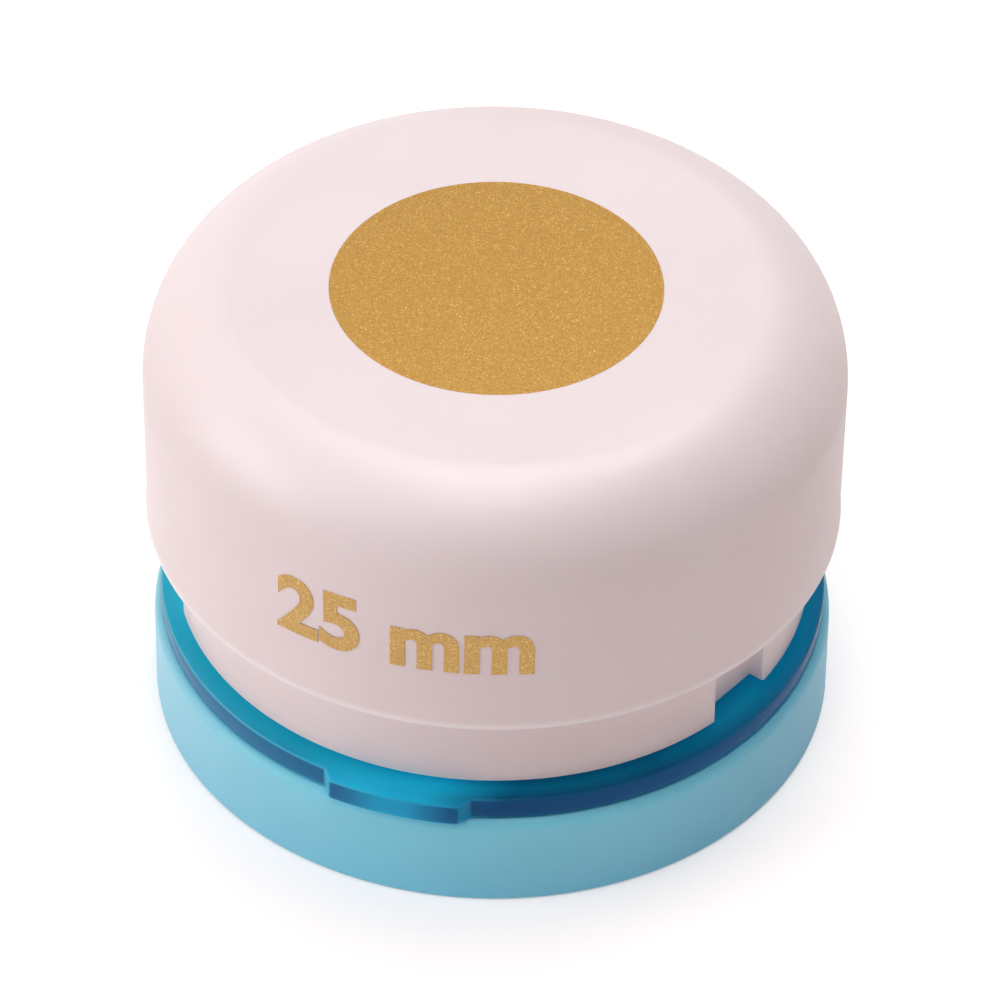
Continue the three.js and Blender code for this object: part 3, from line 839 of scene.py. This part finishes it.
deselect()
bpy.ops.object.text_add(location=(0, 0, 0))
mark = bpy.context.active_object
mark.data.body = mark_text
mark.data.align_x = "CENTER"
mark.data.align_y = "CENTER"
mark.data.size = letter_size
mark.data.offset = letter_growth
mark.data.extrude = foil
mark.data.resolution_u = 8
bpy.ops.object.convert(target="MESH")
mark = bpy.context.active_object
mark.name = "number_print"
widths = [vertex.co.x for vertex in mark.data.vertices]
heights = [vertex.co.y for vertex in mark.data.vertices]
grow = mark_width / (max(widths) - min(widths))
shift = Vector((-(max(widths) + min(widths)) / 2, -(max(heights) + min(heights)) / 2, 0))
mark.data.transform(Matrix.Diagonal((grow, grow, 1, 1)) @ Matrix.Translation(shift))
print("the number is", round(grow * (max(heights) - min(heights)) / MM, 2), "mm tall")

# %% Wrap the number on the wall
open_edit(mark)
bpy.ops.mesh.remove_doubles(threshold=merge_distance)
for k in range(1, math.ceil(mark_width / strip)):
    bpy.ops.mesh.select_all(action="SELECT")
    bpy.ops.mesh.bisect(plane_co=(k * strip - mark_width / 2, 0, 0), plane_no=(1, 0, 0))
close_edit()
for vertex in mark.data.vertices:
    angle = vertex.co.x / shell_radius + mark_angle
    radius = shell_radius + vertex.co.z
    height = mark_height + vertex.co.y
    vertex.co = (radius * math.sin(angle), -radius * math.cos(angle), height)
place_piece(mark, number_gold, "gold_foil", "press")

# %% [markdown]
# ## The skirt
#
# The ring that shows under the cap is the top of the base: the skirt housing. Its wall steps
# inwards at three channels, where the cap's keys run, and its lower edge stands clear of the
# plate by the height of the paper slot, except behind the paper stop at the rear. It is turned
# first, then gets its blocks, and last its channels, slot and screw holes.

# %% Sizes of the skirt
skirt_radius, skirt_bottom, skirt_top = turned_size("skirt_housing")
guide_flange, slot_top, guide_top = turned_size("guide_block")
coil_radius, coil_bottom, coil_top = turned_size("return_spring")
spacer_low, spacer_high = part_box("slot_spacer")
stop_y = spacer_low.y
seat_gap = 0.1 * MM
skirt_wall = 1.5 * MM
skirt_inner = skirt_radius - skirt_wall
skirt_bevel = 1 * MM
floor_bottom = 13.5 * MM
floor_top = coil_bottom - seat_gap
floor_inner = 15.55 * MM
channel_width = 5.9 * MM
channel_back = skirt_inner - skirt_wall
key_play = 0.3 * MM
ledge = key_top + key_play
soft_edge = 0.18 * MM
print("the ring is", round(2 * skirt_radius / MM, 1), "mm across")

# %% Turn the skirt and add what stands in it
skirt = turn("skirt_ring", [
    (skirt_inner, skirt_bottom),
    (skirt_radius, skirt_bottom),
    (skirt_radius, skirt_top - skirt_bevel, soft_edge),
    (skirt_radius - skirt_bevel, skirt_top, soft_edge),
    (skirt_inner, skirt_top),
    (skirt_inner, floor_top),
    (floor_inner, floor_top, soft_edge),
    (floor_inner, floor_bottom),
    (skirt_inner, floor_bottom),
])
screw_names = ["body_screw_left", "body_screw_right"]
screw_centres = middles(screw_names)
boss_radius = 2.3 * MM
boss_height = 8 * MM
rib_width = 1.2 * MM
rib_height = 4 * MM
spring_room = 0.8 * MM
rib_inner = coil_radius + spring_room
rib_shares = [0, 0.5, -0.5, 1.5, -1.5]
in_wall = skirt_radius - skirt_wall / 2
for angle in key_angles:
    step_width = channel_width + 2 * skirt_wall
    step = spoke(channel_back, in_wall, skirt_bottom, skirt_top, step_width, angle)
    combine(skirt, step, "UNION")
for share in rib_shares:
    rib = spoke(
        rib_inner, in_wall, floor_bottom, floor_top + rib_height,
        rib_width, share * channel_angle,
    )
    combine(skirt, rib, "UNION")
for centre in screw_centres:
    boss = rod(centre, boss_radius, slot_top, floor_top + boss_height, small_steps)
    combine(skirt, boss, "UNION")
print("skirt has", len(skirt.data.polygons), "faces before it is cut")

# %% [markdown]
# The channel cutter flares at the ring's outer face, which leaves the small chamfer that shows
# as a light line down each side of the notch.

# %% Cut the skirt
flare = 0.35 * MM


def channel_cutter(angle):
    """A block for the channel, whose outer end flares by the chamfer."""
    cutter = spoke(
        skirt_inner, skirt_radius - flare, skirt_bottom - overrun, ledge, channel_width, 0,
    )
    pick(cutter, "FACE", lambda face: face.normal.y < -0.5)
    reach = 2 * flare
    bpy.ops.mesh.extrude_region_move(TRANSFORM_OT_translate={"value": (0, -reach, 0)})
    wide = (channel_width + 2 * reach) / channel_width
    bpy.ops.transform.resize(value=(wide, 1, 1))
    close_edit()
    cutter.data.transform(Matrix.Rotation(angle, 4, "Z"))
    return cutter


for angle in key_angles:
    combine(skirt, channel_cutter(angle))
combine(skirt, block(
    (0, stop_y - cap_radius, (skirt_bottom - overrun + slot_top) / 2),
    (2 * cap_radius, 2 * cap_radius, slot_top - skirt_bottom + overrun),
))
screw_hole = 1.35 * MM
screw_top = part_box("body_screw_left")[1].z
drill(skirt, screw_centres, screw_hole, slot_top, screw_top + seat_gap - overrun)
place_piece(skirt, ring_abs, "blush_abs", "base", "skirt_housing")

# %% [markdown]
# ## The base plate
#
# The plate is the clear sheet that shows between the ring and the tray. It is a disc with a
# thumb tab at the front, whose flanks are soft S-curves. A many-sided circle is the start: the
# vertices near the front are scaled outwards along a cosine, the face is extruded to its
# thickness, and the rims are bevelled. The bevel, with the painted highlight that the acrylic
# puts on it, gives the thin bright line along the edge.

# %% Sizes of the plate
plate_radius, spigot_bottom, plate_top = turned_size("base_plate")
tab_radius = -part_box("base_plate")[0].y
plate_thickness = 1.9 * MM
plate_bottom = plate_top - plate_thickness
plate_bevel = 0.25 * MM
tab_half = math.radians(11.9)
tab_flank = math.radians(1.4)
plate_steps = 1080
die_boss = 15.4 * MM
plate_gap = 0.2 * MM
print("the tab reaches", round((tab_radius - plate_radius) / MM, 2), "mm beyond the plate")


# %% Shape the plate
def tab_share(angle):
    """0 on the round plate and 1 on the tab, at an angle from the front."""
    share = (tab_half + tab_flank - abs(angle)) / (2 * tab_flank)
    return (1 - math.cos(math.pi * min(max(share, 0), 1))) / 2


deselect()
bpy.ops.mesh.primitive_circle_add(vertices=plate_steps, radius=plate_radius, fill_type="NGON")
plate = bpy.context.active_object
plate.name = "clear_plate"
for vertex in plate.data.vertices:
    angle = math.atan2(vertex.co.x, -vertex.co.y)
    vertex.co *= 1 + tab_share(angle) * (tab_radius / plate_radius - 1)
    vertex.co.z = plate_bottom
open_edit(plate)
bpy.ops.mesh.extrude_region_move(TRANSFORM_OT_translate={"value": (0, 0, plate_thickness)})
bpy.ops.mesh.select_all(action="SELECT")
bpy.ops.mesh.normals_make_consistent(inside=False)
close_edit()
pick(plate, "EDGE", lambda edge: abs(run_of(plate, edge).z) < merge_distance)
bpy.ops.mesh.bevel(offset=plate_bevel, segments=3)
close_edit()
print("plate has", len(plate.data.polygons), "faces")

# %% Add the spigot and drill the plate
spigot_radius = 24.8 * MM
spigot_wall = 1.35 * MM
in_plate = plate_bottom + plate_thickness / 2
combine(plate, turn("spigot", [
    (spigot_radius - spigot_wall, spigot_bottom),
    (spigot_radius, spigot_bottom, 2 * soft_edge),
    (spigot_radius, in_plate),
    (spigot_radius - spigot_wall, in_plate),
]), "UNION")
pin_names = ["dowel_pin_left", "dowel_pin_right"]
pin_centres = middles(pin_names)
pin_hole = 1.4 * MM
die_screw_names = ["die_screw_left", "die_screw_right"]
die_screw_centres = middles(die_screw_names)
drill(plate, [Vector()], die_boss + plate_gap, plate_bottom, plate_top, round_steps)
drill(plate, screw_centres + die_screw_centres, screw_hole, plate_bottom, plate_top)
drill(plate, pin_centres, pin_hole, plate_bottom, plate_top)
place_piece(plate, clear_blue, "clear_blue", "base", "base_plate")

# %% [markdown]
# ## The chip tray
#
# The tray catches the cut discs and is pulled off to be emptied. It is a plain cup, so it is
# turned, with a soft foot, a softer rim and a filleted inner corner. Its bottom has the shallow
# round seat that moulded cups have, so that it stands on its outer part and not on the gate.

# %% Turn the tray
tray_radius = 26.5 * MM
tray_wall = 1.4 * MM
tray_floor = 1.4 * MM
foot_round = 0.35 * MM
rim_round = 0.9 * MM
inner_round = 0.8 * MM
seat_radius = 21 * MM
seat_depth = 0.3 * MM
tray_top = tray_high.z
tray = turn("frosted_tray", [
    (0, seat_depth),
    (seat_radius, seat_depth, seat_depth / 2),
    (seat_radius + seat_depth, 0, seat_depth / 2),
    (tray_radius, 0, foot_round),
    (tray_radius, tray_top, rim_round),
    (tray_radius - tray_wall, tray_top, 2 * soft_edge),
    (tray_radius - tray_wall, tray_floor, inner_round),
    (0, tray_floor),
])
place_piece(tray, frosted, "frosted_aqua", "tray", "chip_tray")

# %% [markdown]
# ## The cutting set
#
# The die plate hangs under the base plate, and its boss comes up flush with the plate's top.
# Its bore has a straight land, then opens out so that discs fall freely. The guide block stands
# on the other side of the slot. Both are castings that are turned here and then drilled for
# pins and screws. The cutter is a cup whose edge is sheared to a low roof, so that it cuts from
# its two tips to the middle.

# %% Turn and drill the die plate
die_flange, die_bottom, die_top = turned_size("die_plate")
die_flange_top = 8.0 * MM
die_land = 2 * MM
bore_radius = 12.85 * MM
relief = 0.5 * MM
head_radius = 2.2 * MM
head_height = 1.3 * MM
head_gap = 0.3 * MM
shank_radius = 1.2 * MM
die = turn("die_casting", [
    (bore_radius + relief, die_bottom, soft_edge),
    (die_flange, die_bottom, 2 * soft_edge),
    (die_flange, die_flange_top, soft_edge),
    (die_boss, die_flange_top),
    (die_boss, die_top, soft_edge / 2),
    (bore_radius, die_top),
    (bore_radius, die_top - die_land),
    (bore_radius + relief, die_top - die_land),
])
drill(die, screw_centres, head_radius + head_gap, die_bottom, die_flange_top)
drill(die, pin_centres, pin_hole, die_bottom, die_flange_top)
drill(die, die_screw_centres, screw_hole, die_bottom, die_flange_top)
for centre in die_screw_centres:
    deselect()
    bpy.ops.mesh.primitive_cone_add(
        vertices=small_steps, depth=head_height,
        radius1=head_radius + screw_hole - shank_radius, radius2=screw_hole,
        location=(centre.x, centre.y, die_bottom + head_height / 2 - hair),
    )
    combine(die, settle())
place_piece(die, cast_zinc, "cast_zinc", "base", "die_plate")

# %% Turn and drill the guide block
flange_top = floor_bottom - seat_gap
guide_radius = 15.25 * MM
guide = turn("guide_casting", [
    (bore_radius, slot_top, soft_edge),
    (guide_flange, slot_top, soft_edge),
    (guide_flange, flange_top, soft_edge),
    (guide_radius, flange_top, soft_edge),
    (guide_radius, guide_top, soft_edge),
    (bore_radius, guide_top, soft_edge),
])
drill(guide, die_screw_centres, screw_hole, slot_top, flange_top)
drill(guide, pin_centres, pin_hole, slot_top, flange_top)
drill(guide, screw_centres, boss_radius + head_gap, slot_top, flange_top)
place_piece(guide, cast_zinc, "cast_zinc", "base", "guide_block")

# %% Turn the cutter and shear its edge
cutter_radius, cutter_bottom, cutter_top = turned_size("cutter")
cutter_wall = 1.8 * MM
cutter_roof = 2 * MM
cutter_ceiling = cutter_top - cutter_roof
shear_rise = 2.2 * MM
cutter_screw_names = ["cutter_screw_1", "cutter_screw_2", "cutter_screw_3"]
cutter_screw_centres = middles(cutter_screw_names)
cutter = turn("cutter_cup", [
    (0, cutter_ceiling),
    (cutter_radius - cutter_wall, cutter_ceiling, 2 * soft_edge),
    (cutter_radius - cutter_wall, cutter_bottom),
    (cutter_radius, cutter_bottom),
    (cutter_radius, cutter_top, soft_edge),
    (0, cutter_top),
])
drill(cutter, cutter_screw_centres, screw_hole, cutter_ceiling, cutter_top)


def shear_wedge():
    """A roof-shaped block under the cutter's edge, from its two tips up to the middle."""
    wedge = block(
        (0, 0, cutter_bottom - overrun / 2), (2 * cutter_radius, 3 * cutter_radius, overrun),
    )
    open_edit(wedge)
    bpy.ops.mesh.bisect(plane_co=(0, 0, 0), plane_no=(1, 0, 0))
    close_edit()
    for vertex in wedge.data.vertices:
        if vertex.co.z > cutter_bottom - overrun / 2 and abs(vertex.co.x) < merge_distance:
            vertex.co.z += shear_rise
    return wedge


combine(cutter, shear_wedge())
place_piece(cutter, ground_steel, "hard_steel", "press", "cutter")

# %% [markdown]
# ## The holder, washer and spacer
#
# Three plain pieces finish the stack: the holder, whose collar grips the cutter's head, the
# washer that the spring pushes on, and the thin steel spacer behind the paper stop, whose
# thickness is the height of the slot.

# %% Turn the holder and the washer
collar_inner = 13.0 * MM
collar_wall = 2.1 * MM
holder_bottom = cutter_top
holder = turn("holder_disc", [
    (0, holder_bottom),
    (collar_inner, holder_bottom),
    (collar_inner, collar_bottom, soft_edge),
    (collar_inner + collar_wall, collar_bottom, soft_edge),
    (collar_inner + collar_wall, holder_bottom),
    (holder_radius, holder_bottom, soft_edge),
    (holder_radius, ceiling),
    (0, ceiling),
])
drill(holder, cutter_screw_centres, screw_hole, holder_bottom, ceiling)
place_piece(holder, grey, "grey_abs", "press", "cutter_holder")

washer_radius, washer_bottom, washer_top = turned_size("spring_washer")
washer_inner = 15.6 * MM
washer = turn("washer_ring", [
    (washer_inner, washer_bottom, soft_edge / 2),
    (washer_radius, washer_bottom, soft_edge / 2),
    (washer_radius, washer_top, soft_edge / 2),
    (washer_inner, washer_top, soft_edge / 2),
])
place_piece(washer, plated_steel, "hard_steel", "press", "spring_washer")

# %% Cut the spacer from a disc
spacer_radius = 22.9 * MM
spacer = turn("spacer_shim", [
    (0, spacer_low.z),
    (spacer_radius, spacer_low.z),
    (spacer_radius, spacer_high.z),
    (0, spacer_high.z),
])
trim(spacer, (0, stop_y, 0), (0, 1, 0), clear_inner=True)
drill(spacer, screw_centres + die_screw_centres, screw_hole, spacer_low.z, spacer_high.z)
drill(spacer, pin_centres, pin_hole, spacer_low.z, spacer_high.z)
place_piece(spacer, ground_steel, "hard_steel", "base", "slot_spacer")

# %% [markdown]
# ## The return spring
#
# The spring is one wire in a helix of seven turns. Its end turns lie close together and are
# ground flat, so that it stands square. A curve with a round section follows a loop's points,
# is made a mesh, and is cut off flat by two planes. When the cap goes down the spring gets
# shorter with it.

# %% Wind the spring
wire = 1.6 * MM
wire_steps = 48
spring_turns = 7
closed_gap = 0.45 * MM
closed_pitch = wire + closed_gap
ground = 0.25 * wire
coil_mean = coil_radius - wire / 2
coil_rise = coil_top - coil_bottom - 2 * ground
open_pitch = (coil_rise - 2 * closed_pitch) / (spring_turns - 2)


def wire_height(turns):
    """Height of the wire's middle after a number of turns."""
    if turns < 1:
        return coil_bottom + ground + closed_pitch * turns
    opened = min(turns, spring_turns - 1) - 1
    closed = 1 + max(turns - spring_turns + 1, 0)
    return coil_bottom + ground + closed_pitch * closed + open_pitch * opened


path = bpy.data.curves.new("coil_path", "CURVE")
path.dimensions = "3D"
path.bevel_depth = wire / 2
path.bevel_resolution = 4
path.use_fill_caps = True
spline = path.splines.new("POLY")
spline.points.add(spring_turns * wire_steps)
for i, point in enumerate(spline.points):
    angle = math.tau * i / wire_steps
    height = wire_height(i / wire_steps)
    point.co = (coil_mean * math.cos(angle), coil_mean * math.sin(angle), height, 1)
coil = bpy.data.objects.new("coil_spring", path)
scene.collection.objects.link(coil)
deselect()
coil.select_set(True)
bpy.context.view_layer.objects.active = coil
bpy.ops.object.convert(target="MESH")
coil = bpy.context.active_object
open_edit(coil)
bpy.ops.mesh.remove_doubles(threshold=merge_distance)
close_edit()
trim(coil, (0, 0, coil_bottom), (0, 0, 1), clear_inner=True)
trim(coil, (0, 0, coil_top), (0, 0, 1), clear_outer=True)
open_edit(coil)
bpy.ops.mesh.normals_make_consistent(inside=False)
close_edit()
place_piece(coil, spring_wire, "spring_steel", "base", "return_spring")
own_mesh(coil)

# %% [markdown]
# ## Pins and screws
#
# Two pan-head screws hold the plate to the skirt's bosses, two countersunk screws clamp the die
# set, three pan-head screws hold the cutter, and two dowel pins line up die and guide. Each kind
# is turned once with its cross recess, and each copy gets its own mesh, moved to its place.

# %% Helpers for fasteners
drive_width = 0.6 * MM
drive_length = 2.4 * MM
drive_depth = 0.7 * MM
drive_taper = 0.6


def cross_recess(screw, face):
    """Cuts a cross whose arms narrow upwards from the face of a head that looks down."""
    for size in ((drive_width, drive_length), (drive_length, drive_width)):
        bar = block((0, 0, face + (drive_depth - overrun) / 2), (*size, drive_depth + overrun))
        for vertex in bar.data.vertices:
            if vertex.co.z > face:
                vertex.co.x *= drive_taper if size[0] > size[1] else 1
                vertex.co.y *= drive_taper if size[1] > size[0] else 1
        combine(screw, bar)


def put_copies(model, names, material, slot, body):
    """Copies a model made on the axis to the middle of each named node, and removes the model."""
    for name, centre in zip(names, middles(names)):
        copy = model.copy()
        copy.data = model.data.copy()
        copy.name = name + "_turned"
        scene.collection.objects.link(copy)
        copy.data.transform(Matrix.Translation((centre.x, centre.y, 0)))
        place_piece(copy, material, slot, body, name)
    bpy.data.objects.remove(model)


def pan_screw(node):
    """A pan-head screw on the axis, driven upwards, as high as the node."""
    low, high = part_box(node)
    seat = low.z + head_height
    screw = turn(node + "_model", [
        (0, low.z),
        (head_radius, low.z, head_height / 2),
        (head_radius, seat, soft_edge / 2),
        (shank_radius, seat),
        (shank_radius, high.z - shank_radius),
        (0, high.z),
    ], steps=small_steps)
    cross_recess(screw, low.z)
    return screw


# %% Make the screws and pins
put_copies(pan_screw("body_screw_left"), screw_names, plated_steel, "hard_steel", "base")
put_copies(pan_screw("cutter_screw_1"), cutter_screw_names, plated_steel, "hard_steel", "press")

sunk_low, sunk_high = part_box("die_screw_left")
sunk_screw = turn("die_screw_model", [
    (0, sunk_low.z),
    (head_radius, sunk_low.z, soft_edge / 2),
    (shank_radius, sunk_low.z + head_height),
    (shank_radius, sunk_high.z, soft_edge),
    (0, sunk_high.z),
], steps=small_steps)
cross_recess(sunk_screw, sunk_low.z)
put_copies(sunk_screw, die_screw_names, plated_steel, "hard_steel", "base")

pin_low, pin_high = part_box("dowel_pin_left")
pin_radius = (pin_high.x - pin_low.x) / 2
pin = turn("pin_model", [
    (0, pin_low.z),
    (pin_radius, pin_low.z, 2 * soft_edge),
    (pin_radius, pin_high.z, 2 * soft_edge),
    (0, pin_high.z),
], steps=small_steps)
put_copies(pin, pin_names, ground_steel, "hard_steel", "base")

# %% [markdown]
# ## The floor and the light
#
# A product picture like this one stands on white card under soft boxes: a large one overhead
# and a smaller one before it, a wide one low on the left, and a weak one low on the right, with
# white card all round that fills the shade. The floor is a pale matt surface that keeps the
# punch's shadow. To come out white without more light on the punch, it glows a little, and
# fully far away, but only for the camera and for reflections. A look from below should show the
# underside, so the floor is clear from that side, and has a round hole that the tray covers,
# through which white light from below reaches the tray's bottom.

# %% Lay the floor
floor_reach = 2.0
hole_radius = 26.05 * MM
hole_edges = 96
near_glow = 0.35
glow_start = 0.15
glow_end = 0.6
deselect()
bpy.ops.mesh.primitive_circle_add(
    vertices=hole_edges, radius=hole_radius, location=(0, 0, cad_low.z - hair),
)
floor = bpy.context.active_object
floor.name = "floor"
open_edit(floor)
bpy.ops.mesh.extrude_edges_move()
bpy.ops.transform.resize(value=(floor_reach / hole_radius, floor_reach / hole_radius, 1))
close_edit()
if floor.data.polygons[0].normal.z < 0:
    open_edit(floor)
    bpy.ops.mesh.flip_normals()
    close_edit()
print("floor faces", [round(v) for v in floor.data.polygons[0].normal])


# %% Make white card
def shown_rays(tree):
    """1 for the rays that show a background: from the camera, off gloss and through glass."""
    rays = add_node(tree, "LightPath").outputs
    seen = calculate(tree, "MAXIMUM", rays["Is Camera Ray"], rays["Is Glossy Ray"])
    return calculate(tree, "MAXIMUM", seen, rays["Is Transmission Ray"])


card = bpy.data.materials.new("white_card")
card.use_nodes = True
tree = card.node_tree
tree.nodes.clear()
place = add_node(tree, "TexCoord")
away = calculate(tree, "LENGTH", place.outputs["Object"], kind="VectorMath")
strength = remap(tree, away, glow_start, glow_end, low=near_glow)
glow = calculate(tree, "MULTIPLY", shown_rays(tree), strength)
shine = add_node(tree, "Emission", {"Strength": glow})
matt = add_node(tree, "BsdfDiffuse", {"Color": linear("FAF1EF")})
both = add_node(tree, "AddShader", {0: matt, 1: shine})
clear = add_node(tree, "BsdfTransparent")
side = add_node(tree, "NewGeometry")
mixed = add_node(tree, "MixShader", {"Fac": side.outputs["Backfacing"], 1: both, 2: clear})
add_node(tree, "OutputMaterial", {"Surface": mixed})
floor.data.materials.append(card)
print("floor lies at", round(floor.location.z / MM, 3), "mm")

# %% Set the world
fill_light = 0.16
under_light = 0.8
world = bpy.data.worlds.new("white_studio")
scene.world = world
world.use_nodes = True
tree = world.node_tree
tree.nodes.clear()
shown = shown_rays(tree)
way = add_node(tree, "TexCoord")
slope = add_node(tree, "SeparateXYZ", {"Vector": way.outputs["Generated"]})
above = calculate(tree, "GREATER_THAN", slope.outputs["Z"], 0.0)
fill = remap(tree, above, 0.0, 1.0, low=under_light, high=fill_light)
level = remap(tree, shown, 0.0, 1.0, low=fill)
tone = blend(tree, shown, linear("FFF0EE"), linear("FFFFFF"))
sky = add_node(tree, "Background", {"Color": tone, "Strength": level})
add_node(tree, "OutputWorld", {"Surface": sky})
print("fill light is", fill_light)


# %% Hang the soft boxes
def soft_box(name, azimuth, elevation, distance, size, power):
    """A square light, in degrees round and up, metres away and across, and watts."""
    way = way_out(azimuth, elevation)
    bpy.ops.object.light_add(type="AREA", location=way * distance)
    lamp = bpy.context.active_object
    lamp.name = name
    lamp.rotation_mode = "QUATERNION"
    lamp.rotation_quaternion = (-way).to_track_quat("-Z", "Y")
    lamp.data.size = size
    lamp.data.energy = power


soft_box("overhead_box", 180, 76, 0.55, 0.3, 1.48)
soft_box("front_box", 16, 73, 0.55, 0.2, 0.66)
soft_box("left_box", -64, 20, 0.6, 0.35, 1.39)
soft_box("right_box", 50, 10, 0.6, 0.3, 0.1)

# %% [markdown]
# ## Finish
#
# The picture is shown as it is written, with no film curve, so a colour renders about as its hex
# code says.

# %% Finish
scene.view_settings.view_transform = "Standard"
